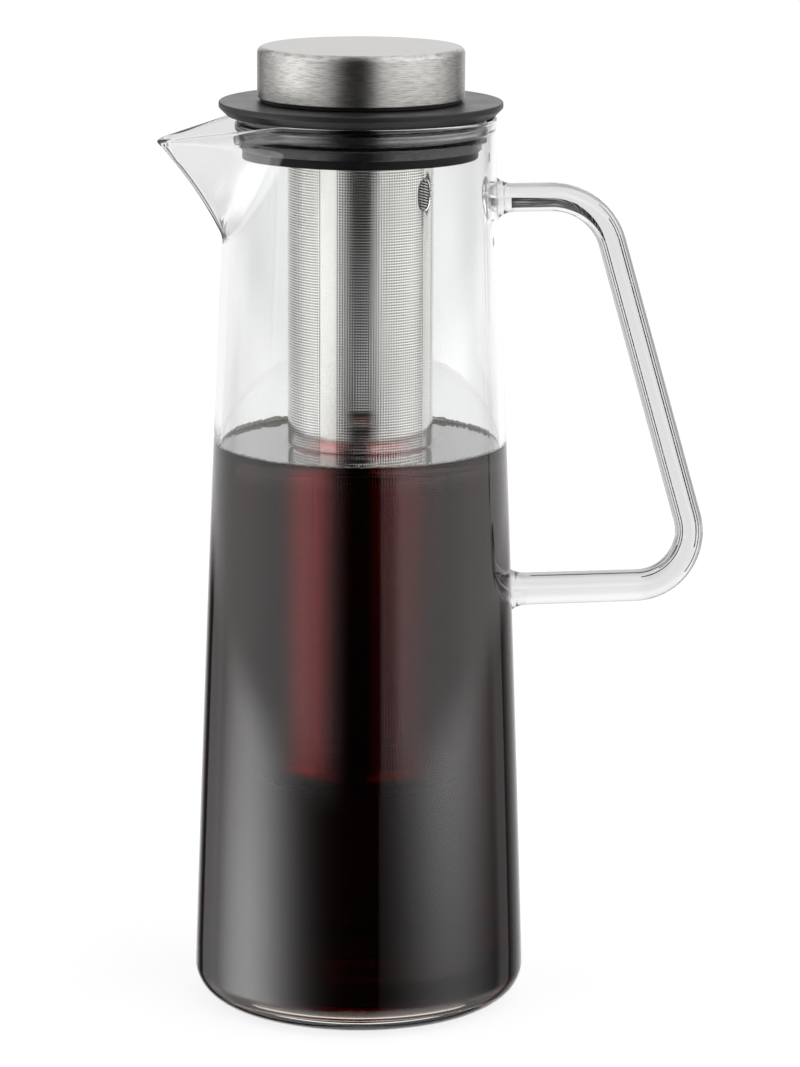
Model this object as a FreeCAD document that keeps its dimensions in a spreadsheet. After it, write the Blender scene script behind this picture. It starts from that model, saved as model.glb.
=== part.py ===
# A cold brew coffee maker: a blown glass jug with a pulled spout and a welded rod handle, a black
# collar in its neck that hangs a perforated steel filter, and a steel-capped stopper in the collar.
# Millimetres. The origin is the centre of the base on the table, +Z is up, the handle lies along +X
# and the spout along -X.
import FreeCAD, Part
import math
import os

import Sketcher
from FreeCAD import Placement, Rotation, Vector

doc = FreeCAD.newDocument("cold_brew_coffee_maker")
made = []

# Driving sizes: name, value and what it measures.
dimensions = [
    ("rim_height", 279.0, "top of the glass rim above the table"),
    ("base_radius", 51.95, "widest part of the jug, at the top of its rounded foot"),
    ("foot_rounding", 9.5, "rounding between the flat base and the wall"),
    ("neck_radius", 41.12, "outside of the jug just under the rim bead"),
    ("wall_bulge", 0.46, "how far the wall swells beyond a straight taper"),
    ("glass_wall", 2.2, "thickness of the blown wall"),
    ("glass_floor", 5.0, "thickness of the jug's floor"),
    ("bead_height", 4.0, "height of the bead below the rim"),
    ("bead_slope", 1.2, "height of the slope that leads into the bead"),
    ("bead_proud", 0.45, "how far the bead stands out of the wall"),
    ("rim_rounding", 1.05, "fire-polished rounding of the rim's two edges"),
    ("spout_reach", 63.3, "tip of the spout from the axis"),
    ("spout_drop", 6.5, "tip of the spout below the rim"),
    ("spout_depth", 43.0, "start of the spout below the rim"),
    ("spout_half_width", 27.0, "half of the spout's width where it leaves the neck at the rim"),
    ("spout_tip_rounding", 7.0, "rounding of the spout's outside in plan"),
    ("spout_overrun", 5.0, "height above the rim of the spout before its edge is cut"),
    ("handle_rod", 9.0, "diameter of the handle's glass rod"),
    ("handle_drop", 26.25, "centre line of the handle's upper arm below the rim"),
    ("handle_span", 124.1, "height between the centre lines of the handle's two arms"),
    ("handle_top_reach", 74.8, "where the upper arm would meet the grip, from the axis"),
    ("handle_bottom_reach", 110.7, "where the lower arm would meet the grip, from the axis"),
    ("handle_top_bend", 20.5, "bend between the upper arm and the grip"),
    ("handle_bottom_bend", 16.8, "bend between the grip and the lower arm"),
    ("weld_pad", 13.6, "diameter of a welded pad at the wall"),
    ("weld_flare", 5.0, "length over which a pad narrows to the rod"),
    ("seat_gap", 0.2, "air between the rim and the collar's disc"),
    ("disc_thickness", 4.1, "thickness of the collar's disc"),
    ("disc_radius", 43.5, "outside of the collar's disc"),
    ("disc_bevel", 2.4, "slope under the disc's edge"),
    ("disc_rounding", 0.5, "rounding of the disc's upper edge"),
    ("seal_seat", 35.0, "radius of the skirt where the soft seal sits"),
    ("seal_length", 10.0, "height of the seal below the disc"),
    ("seal_band", 37.1, "outside of the seal between its fins"),
    ("seal_fit", 0.05, "air between the seal and the skirt"),
    ("fin_clearance", 0.3, "air between the seal's fins and the neck"),
    ("upper_fin", 2.9, "thickness of the upper fin"),
    ("upper_fin_drop", 2.1, "top of the upper fin below the disc"),
    ("lower_fin", 0.7, "thickness of the lower fin"),
    ("lower_fin_drop", 5.8, "root of the lower fin below the disc"),
    ("lower_fin_slope", 1.0, "how far the lower fin droops"),
    ("lip_radius", 36.0, "outside of the skirt's lower lip"),
    ("lip_height", 2.7, "height of the skirt's lower lip"),
    ("bore_radius", 29.6, "bore of the collar that takes the stopper"),
    ("ledge_height", 5.5, "height of the ledge in the collar that carries the filter"),
    ("tube_clearance", 0.4, "air between the filter tube and the collar"),
    ("tube_radius", 22.5, "outside of the filter tube"),
    ("tube_wall", 0.4, "thickness of the filter tube"),
    ("filter_height", 71.0, "underside of the filter above the table"),
    ("base_plate", 0.6, "thickness of the filter's closed end"),
    ("base_band", 7.0, "height of the plain band at the filter's closed end"),
    ("sleeve_fit", 0.1, "air between the tube and the sleeves inside it"),
    ("sleeve_wall", 0.5, "thickness of the sleeves inside the tube"),
    ("flange_thickness", 0.8, "thickness of the ring that hangs the filter"),
    ("flange_clearance", 0.4, "air between that ring and the collar's bore"),
    ("flange_sleeve", 6.0, "height of the ring's sleeve inside the tube"),
    ("vent_width", 7.4, "width of the vent near the tube's top"),
    ("vent_height", 9.0, "height of the vent"),
    ("vent_drop", 16.0, "centre of the vent below the tube's top"),
    ("vent_angle", 51.5, "turn of the vent about the axis, in degrees from -Y"),
    ("stopper_gap", 0.1, "air between the stopper's shoulder and the collar"),
    ("plug_clearance", 0.3, "air between the stopper's plug and the bore"),
    ("plug_length", 10.2, "length of the plug below the shoulder"),
    ("plug_wall", 3.3, "thickness of the plug's wall"),
    ("ring_groove", 1.3, "depth of the groove for the soft ring"),
    ("ring_height", 3.0, "height of the soft ring"),
    ("ring_drop", 4.2, "top of the soft ring below the shoulder"),
    ("ring_fit", 0.08, "air between the soft ring and the bore"),
    ("ring_lip", 0.8, "depth of the two lips on the soft ring"),
    ("cap_radius", 31.75, "outside of the steel cap"),
    ("cap_height", 15.4, "height of the steel cap"),
    ("cap_lift", 1.2, "edge of the steel cap above the stopper's shoulder"),
    ("cap_wall", 0.8, "thickness of the steel cap"),
    ("cap_rounding", 2.0, "rounding of the cap's upper edge"),
    ("core_fit", 0.05, "air between the cap's wall and the stopper body"),
    ("core_chamfer", 1.5, "chamfer of the stopper body inside the cap"),
    ("core_roof", 4.2, "thickness of the stopper body under the cap"),
]

# The spout's four level sections: share of its height, of its reach beyond the neck and of its width.
spout_sections = [(0.0, 0.0, 0.30), (0.333, 0.305, 0.62), (0.667, 0.865, 0.88), (1.0, 1.0, 1.0)]
groove_overrun = 2.0
root_inset = 0.5
flank_allowance = 1.25
volume_tolerance = 1.0


class Size:
    """A size held both as a number and as the sheet's words for it."""

    def __init__(self, number, words):
        self.number = number
        self.words = words

    def joined(self, sign, other, number):
        return Size(number, f"({self.words} {sign} {size_of(other).words})")

    def __add__(self, other):
        return self.joined("+", other, self.number + size_of(other).number)

    def __sub__(self, other):
        return self.joined("-", other, self.number - size_of(other).number)

    def __mul__(self, other):
        return self.joined("*", other, self.number * size_of(other).number)

    def __truediv__(self, other):
        return self.joined("/", other, self.number / size_of(other).number)

    def __neg__(self):
        return Size(-self.number, f"(0 - {self.words})")

    def root(self):
        return Size(math.sqrt(self.number), f"sqrt({self.words})")


def size_of(value):
    """The value as a Size, also when it is a plain number."""
    if isinstance(value, Size):
        return value
    return Size(float(value), repr(float(value)))


class Sizes:
    """The sheet of driving sizes, each read as an attribute."""

    def __init__(self, rows):
        sheet = doc.addObject("Spreadsheet::Sheet", "Sizes")
        for line, (name, number, note) in enumerate(rows, start=1):
            sheet.set(f"A{line}", name)
            sheet.set(f"B{line}", str(number))
            sheet.set(f"C{line}", note)
            sheet.setAlias(f"B{line}", name)
            setattr(self, name, Size(number, f"Sizes.{name}"))
        doc.recompute()


sizes = Sizes(dimensions)


def origin_plane(body, role):
    for feature in body.Origin.OriginFeatures:
        if feature.Role == role:
            return feature
    raise RuntimeError(f"{body.Label} has no {role}")


def new_sketch(body, name, role, height=None):
    """A sketch on one of the body's own origin planes, or level with it at a height."""
    sketch = body.newObject("Sketcher::SketchObject", name)
    sketch.AttachmentSupport = [(origin_plane(body, role), "")]
    sketch.MapMode = "FlatFace"
    if height is not None:
        sketch.AttachmentOffset = Placement(Vector(0, 0, height.number), Rotation())
        sketch.setExpression(".AttachmentOffset.Base.z", height.words)
    return sketch


def bind(sketch, constraint, size):
    """Adds a constraint whose value is the sheet's own words for the size."""
    index = sketch.addConstraint(constraint)
    sketch.setExpression(f"Constraints[{index}]", size.words)


def place_point(sketch, item, end, across, up):
    """Holds one end of a line or arc at its distances from the sketch's origin."""
    across = size_of(across)
    up = size_of(up)
    if abs(across.number) < 1e-9:
        sketch.addConstraint(Sketcher.Constraint("PointOnObject", item, end, -2))
    else:
        bind(sketch, Sketcher.Constraint("DistanceX", -1, 1, item, end, across.number), across)
    if abs(up.number) < 1e-9:
        sketch.addConstraint(Sketcher.Constraint("PointOnObject", item, end, -1))
    else:
        bind(sketch, Sketcher.Constraint("DistanceY", -1, 1, item, end, up.number), up)


def arc_between(first, last, radius, leftward):
    """The arc of a radius from first to last, with its centre to the left or right of the way."""
    middle = (first + last) * 0.5
    chord = last - first
    left = Vector(-chord.y, chord.x, 0).normalize()
    rise = math.sqrt(max(radius ** 2 - (chord.Length / 2) ** 2, 0.0))
    centre = middle + left * (rise if leftward else -rise)
    start, end = (first, last) if leftward else (last, first)
    angles = [math.atan2(point.y - centre.y, point.x - centre.x) for point in (start, end)]
    return Part.ArcOfCircle(Part.Circle(centre, Vector(0, 0, 1), radius), angles[0], angles[1])


def outline(sketch, corners):
    """Closes an outline through corners (across, up). A corner that also gives a radius and a side
    is joined to the next one by an arc, with its centre to the left or right of the way."""
    points = [Vector(size_of(c[0]).number, size_of(c[1]).number, 0) for c in corners]
    ends = []
    for index, corner in enumerate(corners):
        first = points[index]
        last = points[(index + 1) % len(points)]
        if len(corner) == 2:
            item = sketch.addGeometry(Part.LineSegment(first, last))
            ends.append((item, 1, 2))
        else:
            radius, side = corner[2:]
            item = sketch.addGeometry(arc_between(first, last, radius.number, side == "left"))
            bind(sketch, Sketcher.Constraint("Radius", item, radius.number), radius)
            ends.append((item, 1, 2) if side == "left" else (item, 2, 1))
    for index, (item, _, end) in enumerate(ends):
        following, start, _ = ends[(index + 1) % len(ends)]
        sketch.addConstraint(Sketcher.Constraint("Coincident", item, end, following, start))
        across, up = corners[(index + 1) % len(corners)][:2]
        place_point(sketch, following, start, across, up)


def turn(body, kind, name, corners):
    """Turns an outline in the upright plane once round the axis."""
    sketch = new_sketch(body, name + "_section", "XZ_Plane")
    outline(sketch, corners)
    feature = body.newObject("PartDesign::" + kind, name)
    feature.Profile = (sketch, [""])
    feature.ReferenceAxis = (sketch, ["V_Axis"])
    feature.Angle = 360.0
    body.Tip = feature
    doc.recompute()
    return feature


def new_body(name, note):
    body = doc.addObject("PartDesign::Body", name)
    body.Label = name
    body.Label2 = note
    return body


def turned_piece(name, note, corners):
    """A piece that is wholly turned about the axis."""
    body = new_body(name, note)
    turn(body, "Revolution", name + "_turned", corners)
    made.append(body)
    return body


# Heights and radii that several pieces share.
wall_top = sizes.rim_height - sizes.bead_height
wall_run = wall_top - sizes.foot_rounding
inner_neck = sizes.neck_radius - sizes.glass_wall
handle_top = sizes.rim_height - sizes.handle_drop
handle_bottom = handle_top - sizes.handle_span
disc_bottom = sizes.rim_height + sizes.seat_gap
disc_top = disc_bottom + sizes.disc_thickness
seal_bottom = disc_bottom - sizes.seal_length
skirt_bottom = seal_bottom - sizes.lip_height
ledge = skirt_bottom + sizes.ledge_height
tube_inside = sizes.tube_radius - sizes.tube_wall
sleeve_outside = tube_inside - sizes.sleeve_fit
sleeve_inside = sleeve_outside - sizes.sleeve_wall
shoulder = disc_top + sizes.stopper_gap
cap_edge = shoulder + sizes.cap_lift
cap_top = cap_edge + sizes.cap_height
plug_radius = sizes.bore_radius - sizes.plug_clearance
groove_radius = plug_radius - sizes.ring_groove
ring_top = shoulder - sizes.ring_drop
ring_bottom = ring_top - sizes.ring_height


def wall_arc(inset):
    """Radius of the wall's long arc, from its chord and its bulge, drawn in by an inset."""
    narrowing = sizes.base_radius - sizes.neck_radius
    chord_squared = narrowing * narrowing + wall_run * wall_run
    return chord_squared / (sizes.wall_bulge * 8) + sizes.wall_bulge / 2 - inset


def wall_radius(height):
    """Outside of the tapering wall at a height, along the same arc drawn as a parabola."""
    share = (height - sizes.foot_rounding) / wall_run
    straight = sizes.base_radius - (sizes.base_radius - sizes.neck_radius) * share
    return straight + sizes.wall_bulge * 4 * share * (size_of(1) - share)


def blown_outside(body, name):
    """The outside of the jug without its spout, filled solid."""
    bead_radius = sizes.neck_radius + sizes.bead_proud
    bead_start = wall_top + sizes.bead_slope
    return turn(body, "Revolution", name, [
        (0, 0),
        (sizes.base_radius - sizes.foot_rounding, 0, sizes.foot_rounding, "left"),
        (sizes.base_radius, sizes.foot_rounding, wall_arc(0), "left"),
        (sizes.neck_radius, wall_top),
        (bead_radius, bead_start),
        (bead_radius, sizes.rim_height - sizes.rim_rounding, sizes.rim_rounding, "left"),
        (bead_radius - sizes.rim_rounding, sizes.rim_height),
        (0, sizes.rim_height),
    ])


def spout_section(body, name, shares, inset):
    """One level section of the spout: two flanks that run tangent into a rounded tip, closed by a
    straight line inside the neck. The inset leaves the wall's thickness inside it."""
    height_share, reach_share, width_share = shares
    start = sizes.rim_height - sizes.spout_depth
    full_height = sizes.spout_depth + sizes.spout_overrun
    root_reach = sizes.neck_radius + root_inset
    reach = root_reach + (sizes.spout_reach - root_reach) * reach_share
    tip_radius = sizes.spout_tip_rounding - inset
    tip_centre = reach - sizes.spout_tip_rounding
    middle_wall = sizes.neck_radius - sizes.glass_wall / 2
    width = sizes.spout_half_width
    anchor = (middle_wall * middle_wall - width * width).root()
    half_width = width * width_share - inset * flank_allowance

    sketch = new_sketch(body, name, "XY_Plane", start + full_height * height_share)
    away = tip_centre.number - anchor.number
    slant = math.atan2(half_width.number, away)
    slant += math.acos(tip_radius.number / math.hypot(half_width.number, away))
    touch = Vector(tip_radius.number * math.cos(slant), tip_radius.number * math.sin(slant), 0)
    centre = Vector(-tip_centre.number, 0, 0)
    mirrored = Vector(touch.x, -touch.y, 0)
    high = Vector(-anchor.number, half_width.number, 0)
    low = Vector(-anchor.number, -half_width.number, 0)
    circle = Part.Circle(centre, Vector(0, 0, 1), tip_radius.number)

    flank = sketch.addGeometry(Part.LineSegment(high, centre + touch))
    tip = sketch.addGeometry(Part.ArcOfCircle(circle, slant, 2 * math.pi - slant))
    other = sketch.addGeometry(Part.LineSegment(centre + mirrored, low))
    back = sketch.addGeometry(Part.LineSegment(low, high))
    sketch.addConstraint(Sketcher.Constraint("Tangent", flank, 2, tip, 1))
    sketch.addConstraint(Sketcher.Constraint("Tangent", tip, 2, other, 1))
    sketch.addConstraint(Sketcher.Constraint("Coincident", other, 2, back, 1))
    sketch.addConstraint(Sketcher.Constraint("Coincident", back, 2, flank, 1))
    place_point(sketch, flank, 1, -anchor, half_width)
    place_point(sketch, back, 1, -anchor, -half_width)
    place_point(sketch, tip, 3, -tip_centre, 0)
    bind(sketch, Sketcher.Constraint("Radius", tip, tip_radius.number), tip_radius)
    return sketch


def spout_loft(body, kind, name, inset):
    """A smooth loft through the spout's sections, added outside or taken away inside."""
    sketches = [
        spout_section(body, f"{name}_{index}", shares, inset)
        for index, shares in enumerate(spout_sections)
    ]
    loft = body.newObject("PartDesign::" + kind, name)
    loft.Profile = (sketches[0], [""])
    loft.Sections = [(sketch, [""]) for sketch in sketches[1:]]
    loft.Ruled = False
    loft.Closed = False
    body.Tip = loft
    doc.recompute()
    return loft


def check_removed(feature, before, name):
    """A cut that points away from the glass would take nothing and say nothing."""
    if before - feature.Shape.Volume < volume_tolerance:
        raise RuntimeError(f"{name} takes nothing away")


def glass_carafe():
    """The jug: turned outside, spout raised on it, then hollowed and trimmed at the pouring edge."""
    body = new_body("glass_carafe", "blown glass jug")
    blown_outside(body, "jug_outside")
    solid = spout_loft(body, "AdditiveLoft", "spout_outside", size_of(0))

    volume = solid.Shape.Volume
    inner_base = sizes.base_radius - sizes.glass_wall
    inner_rounding = sizes.foot_rounding - sizes.glass_wall
    open_top = sizes.rim_height + groove_overrun
    hollow = turn(body, "Groove", "jug_inside", [
        (0, sizes.glass_floor),
        (inner_base - inner_rounding, sizes.glass_floor, inner_rounding, "left"),
        (inner_base, sizes.glass_floor + inner_rounding, wall_arc(sizes.glass_wall), "left"),
        (inner_neck, sizes.rim_height - sizes.rim_rounding, sizes.rim_rounding, "right"),
        (inner_neck + sizes.rim_rounding, sizes.rim_height),
        (inner_neck + sizes.rim_rounding, open_top),
        (0, open_top),
    ])
    check_removed(hollow, volume, "jug_inside")

    volume = hollow.Shape.Volume
    channel = spout_loft(body, "SubtractiveLoft", "spout_inside", sizes.glass_wall)
    check_removed(channel, volume, "spout_inside")

    volume = channel.Shape.Volume
    beyond = sizes.spout_reach + groove_overrun
    over = sizes.rim_height + sizes.spout_overrun + groove_overrun
    slope_start = sizes.neck_radius - sizes.spout_drop * 2
    edge_run = sizes.spout_reach - slope_start
    edge_end = sizes.rim_height - sizes.spout_drop * (beyond - slope_start) / edge_run
    sketch = new_sketch(body, "pouring_edge_section", "XZ_Plane")
    outline(sketch, [
        (0, sizes.rim_height),
        (-slope_start, sizes.rim_height),
        (-beyond, edge_end),
        (-beyond, over),
        (0, over),
    ])
    trim = body.newObject("PartDesign::Pocket", "pouring_edge")
    trim.Profile = (sketch, [""])
    trim.SideType = "Symmetric"
    trim.Type = "Length"
    trim.Length = (sizes.neck_radius * 4).number
    trim.setExpression("Length", (sizes.neck_radius * 4).words)
    body.Tip = trim
    doc.recompute()
    check_removed(trim, volume, "pouring_edge")
    made.append(body)


def handle_path(body):
    """The rod's centre line: upper arm, bend, slanted grip, bend and lower arm."""
    sketch = new_sketch(body, "handle_path", "XZ_Plane")
    inside = sizes.neck_radius - sizes.handle_rod
    start = Vector(inside.number, handle_top.number, 0)
    upper = Vector(sizes.handle_top_reach.number, handle_top.number, 0)
    lower = Vector(sizes.handle_bottom_reach.number, handle_bottom.number, 0)
    finish = Vector(inside.number, handle_bottom.number, 0)

    grip = (lower - upper).normalize()
    along = Vector(1, 0, 0)
    bends = []
    for corner, before, after, size in (
        (upper, along, grip, sizes.handle_top_bend),
        (lower, grip, -along, sizes.handle_bottom_bend),
    ):
        reach = size.number * math.tan(before.getAngle(after) / 2)
        bends.append((corner - before * reach, corner + after * reach, size))

    items = [sketch.addGeometry(Part.LineSegment(start, bends[0][0]))]
    items.append(sketch.addGeometry(arc_between(bends[0][0], bends[0][1], bends[0][2].number, False)))
    items.append(sketch.addGeometry(Part.LineSegment(bends[0][1], bends[1][0])))
    items.append(sketch.addGeometry(arc_between(bends[1][0], bends[1][1], bends[1][2].number, False)))
    items.append(sketch.addGeometry(Part.LineSegment(bends[1][1], finish)))
    upper_arm, upper_bend, slant, lower_bend, lower_arm = items

    for line, end, arc, arc_end in (
        (upper_arm, 2, upper_bend, 2), (slant, 1, upper_bend, 1),
        (slant, 2, lower_bend, 2), (lower_arm, 1, lower_bend, 1),
    ):
        sketch.addConstraint(Sketcher.Constraint("Tangent", line, end, arc, arc_end))
    bind(sketch, Sketcher.Constraint("Radius", upper_bend, bends[0][2].number), bends[0][2])
    bind(sketch, Sketcher.Constraint("Radius", lower_bend, bends[1][2].number), bends[1][2])
    place_point(sketch, upper_arm, 1, inside, handle_top)
    place_point(sketch, lower_arm, 2, inside, handle_bottom)
    for corner, across, up, lines in (
        (upper, sizes.handle_top_reach, handle_top, (upper_arm, slant)),
        (lower, sizes.handle_bottom_reach, handle_bottom, (slant, lower_arm)),
    ):
        point = sketch.addGeometry(Part.Point(corner), True)
        place_point(sketch, point, 1, across, up)
        for line in lines:
            sketch.addConstraint(Sketcher.Constraint("PointOnObject", point, 1, line))
    return sketch, inside


def weld_pad(body, name, height):
    """A cone along +X that widens the rod to its pad, starting inside the wall."""
    cone = body.newObject("PartDesign::AdditiveCone", name)
    wall = wall_radius(height)
    start = wall - sizes.glass_wall
    cone.AttachmentSupport = [(origin_plane(body, "YZ_Plane"), "")]
    cone.MapMode = "FlatFace"
    cone.AttachmentOffset = Placement(Vector(0, height.number, start.number), Rotation())
    cone.setExpression(".AttachmentOffset.Base.y", height.words)
    cone.setExpression(".AttachmentOffset.Base.z", start.words)
    cone.setExpression("Radius1", (sizes.weld_pad / 2).words)
    cone.setExpression("Radius2", (sizes.handle_rod / 2).words)
    cone.setExpression("Height", (sizes.weld_flare + sizes.glass_wall).words)
    body.Tip = cone
    doc.recompute()


def glass_handle():
    """The bent rod with its two pads, trimmed where it meets the outside of the jug."""
    body = new_body("handle_rod_uncut", "bent glass rod before it is welded on")
    path, inside = handle_path(body)
    section = new_sketch(body, "handle_section", "YZ_Plane", inside)
    centre = Vector(0, handle_top.number, 0)
    rod_radius = sizes.handle_rod / 2
    circle = section.addGeometry(Part.Circle(centre, Vector(0, 0, 1), rod_radius.number))
    bind(section, Sketcher.Constraint("Radius", circle, rod_radius.number), rod_radius)
    place_point(section, circle, 3, 0, handle_top)
    rod = body.newObject("PartDesign::AdditivePipe", "handle_rod_bent")
    rod.Profile = (section, [""])
    rod.Spine = (path, [])
    body.Tip = rod
    doc.recompute()
    weld_pad(body, "upper_pad", handle_top)
    weld_pad(body, "lower_pad", handle_bottom)

    blank = new_body("jug_blank", "outside of the jug that trims the handle")
    blown_outside(blank, "blank_outside")
    handle = doc.addObject("Part::Cut", "glass_handle")
    handle.Label = "glass_handle"
    handle.Base = body
    handle.Tool = blank
    doc.recompute()
    made.append(handle)


def collar_ring():
    """The black disc on the rim and the skirt under it, with a stepped bore."""
    edge = disc_top - sizes.disc_rounding
    bevel_top = disc_bottom + sizes.disc_bevel
    tube_hole = sizes.tube_radius + sizes.tube_clearance
    turned_piece("collar_ring", "matt black collar", [
        (sizes.bore_radius, disc_top),
        (sizes.bore_radius, ledge),
        (tube_hole, ledge),
        (tube_hole, skirt_bottom),
        (sizes.lip_radius, skirt_bottom),
        (sizes.lip_radius, seal_bottom),
        (sizes.seal_seat, seal_bottom),
        (sizes.seal_seat, disc_bottom),
        (sizes.disc_radius - sizes.disc_bevel, disc_bottom),
        (sizes.disc_radius, bevel_top),
        (sizes.disc_radius, edge, sizes.disc_rounding, "left"),
        (sizes.disc_radius - sizes.disc_rounding, disc_top),
    ])


def collar_seal():
    """The soft sleeve round the skirt, with a thick upper fin and a thin drooping lower one."""
    inside = sizes.seal_seat + sizes.seal_fit
    fin_edge = inner_neck - sizes.fin_clearance
    lower_root = disc_bottom - sizes.lower_fin_drop
    lower_tip = lower_root - sizes.lower_fin_slope
    upper_top = disc_bottom - sizes.upper_fin_drop
    turned_piece("collar_seal", "silicone seal", [
        (inside, seal_bottom),
        (sizes.seal_band, seal_bottom),
        (sizes.seal_band, lower_root - sizes.lower_fin),
        (fin_edge, lower_tip - sizes.lower_fin),
        (fin_edge, lower_tip),
        (sizes.seal_band, lower_root),
        (sizes.seal_band, upper_top - sizes.upper_fin),
        (fin_edge, upper_top - sizes.upper_fin),
        (fin_edge, upper_top),
        (sizes.seal_band, upper_top),
        (sizes.seal_band, disc_bottom),
        (inside, disc_bottom),
    ])


def filter_flange():
    """The steel ring that rests on the collar's ledge, with a sleeve down inside the tube."""
    outside = sizes.bore_radius - sizes.flange_clearance
    sleeve_bottom = ledge - sizes.flange_sleeve
    top = ledge + sizes.flange_thickness
    turned_piece("filter_flange", "steel hanging ring", [
        (sleeve_inside, sleeve_bottom),
        (sleeve_outside, sleeve_bottom),
        (sleeve_outside, ledge),
        (outside, ledge),
        (outside, top),
        (sleeve_inside, top),
    ])


def filter_tube():
    """The straight steel tube, with one oval vent cut through its wall near the top."""
    body = new_body("filter_tube", "perforated steel tube")
    bottom = sizes.filter_height + sizes.base_plate
    tube = turn(body, "Revolution", "tube_turned", [
        (tube_inside, bottom),
        (sizes.tube_radius, bottom),
        (sizes.tube_radius, ledge),
        (tube_inside, ledge),
    ])
    volume = tube.Shape.Volume
    middle = ledge - sizes.vent_drop
    half = sizes.vent_width / 2
    straight = (sizes.vent_height - sizes.vent_width) / 2
    sketch = new_sketch(body, "vent_section", "XZ_Plane")
    outline(sketch, [
        (half, middle - straight),
        (half, middle + straight, half, "left"),
        (0, middle + straight + half, half, "left"),
        (-half, middle + straight),
        (-half, middle - straight, half, "left"),
        (0, middle - straight - half, half, "left"),
    ])
    vent = body.newObject("PartDesign::Pocket", "vent")
    vent.Profile = (sketch, [""])
    vent.Type = "Length"
    vent.Reversed = True
    vent.setExpression("Length", (sizes.tube_radius * 2).words)
    body.Tip = vent
    body.setExpression(".Placement.Rotation.Angle", sizes.vent_angle.words)
    doc.recompute()
    check_removed(vent, volume, "vent")
    made.append(body)


def filter_base():
    """The plain steel cup that closes the tube: a plate under it and a band up inside it."""
    plate_top = sizes.filter_height + sizes.base_plate
    band_top = sizes.filter_height + sizes.base_band
    turned_piece("filter_base", "closed end of the filter", [
        (0, sizes.filter_height),
        (sizes.tube_radius, sizes.filter_height),
        (sizes.tube_radius, plate_top),
        (sleeve_outside, plate_top),
        (sleeve_outside, band_top),
        (sleeve_inside, band_top),
        (sleeve_inside, plate_top),
        (0, plate_top),
    ])


def steel_cap():
    """The drawn steel shell, open below."""
    inside = sizes.cap_radius - sizes.cap_wall
    inner_top = cap_top - sizes.cap_wall
    round_start = cap_top - sizes.cap_rounding
    flat_edge = sizes.cap_radius - sizes.cap_rounding
    turned_piece("steel_cap", "brushed steel cap", [
        (inside, cap_edge),
        (sizes.cap_radius, cap_edge),
        (sizes.cap_radius, round_start, sizes.cap_rounding, "left"),
        (flat_edge, cap_top),
        (0, cap_top),
        (0, inner_top),
        (flat_edge, inner_top, sizes.cap_rounding - sizes.cap_wall, "right"),
        (inside, round_start),
    ])


def cap_core():
    """The stopper body: a head that fills the cap and a hollow plug with a groove for the ring."""
    head = sizes.cap_radius - sizes.cap_wall - sizes.core_fit
    head_top = cap_top - sizes.cap_wall
    plug_bottom = shoulder - sizes.plug_length
    plug_inside = plug_radius - sizes.plug_wall
    roof = head_top - sizes.core_roof
    turned_piece("cap_core", "black stopper body", [
        (0, head_top),
        (0, roof),
        (plug_inside, roof),
        (plug_inside, plug_bottom),
        (plug_radius, plug_bottom),
        (plug_radius, ring_bottom),
        (groove_radius, ring_bottom),
        (groove_radius, ring_top),
        (plug_radius, ring_top),
        (plug_radius, shoulder),
        (head, shoulder),
        (head, head_top - sizes.core_chamfer),
        (head - sizes.core_chamfer, head_top),
    ])


def stopper_seal():
    """The soft ring in the plug's groove, with two lips towards the bore."""
    inside = groove_radius + sizes.seal_fit
    lip_edge = sizes.bore_radius - sizes.ring_fit
    valley = lip_edge - sizes.ring_lip
    turned_piece("stopper_seal", "silicone ring", [
        (inside, ring_bottom),
        (valley, ring_bottom),
        (lip_edge, ring_bottom + sizes.ring_lip),
        (valley, ring_bottom + sizes.ring_height / 2),
        (lip_edge, ring_top - sizes.ring_lip),
        (valley, ring_top),
        (inside, ring_top),
    ])


glass_carafe()
glass_handle()
collar_ring()
collar_seal()
filter_flange()
filter_tube()
filter_base()
steel_cap()
cap_core()
stopper_seal()
doc.recompute()

for thing in doc.Objects:
    if "Invalid" in thing.State or "Error" in thing.State:
        raise RuntimeError(f"{thing.Name} failed: {thing.State}")
for piece in made:
    if piece.Shape.isNull() or not piece.Shape.isValid() or not piece.Shape.Solids:
        raise RuntimeError(f"{piece.Label} has no valid solid")

os.makedirs("parts", exist_ok=True)
for piece in made:
    piece.Shape.exportStep(f"parts/{piece.Label}.step")
    box = piece.Shape.BoundBox
    print(f"{piece.Label}: {len(piece.Shape.Solids)} solid, {piece.Shape.Volume:.1f} mm3, "
          f"x {box.XMin:.1f}..{box.XMax:.1f} y {box.YMin:.1f}..{box.YMax:.1f} "
          f"z {box.ZMin:.1f}..{box.ZMax:.1f}")
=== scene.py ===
# A cold brew coffee maker: a blown glass jug with a welded rod handle, a black collar that hangs a
# perforated steel filter in its neck, and a steel-capped stopper. Metres, +Z up, handle along +X.
import bpy
import math
import numpy as np
from mathutils import Matrix, Vector


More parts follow.
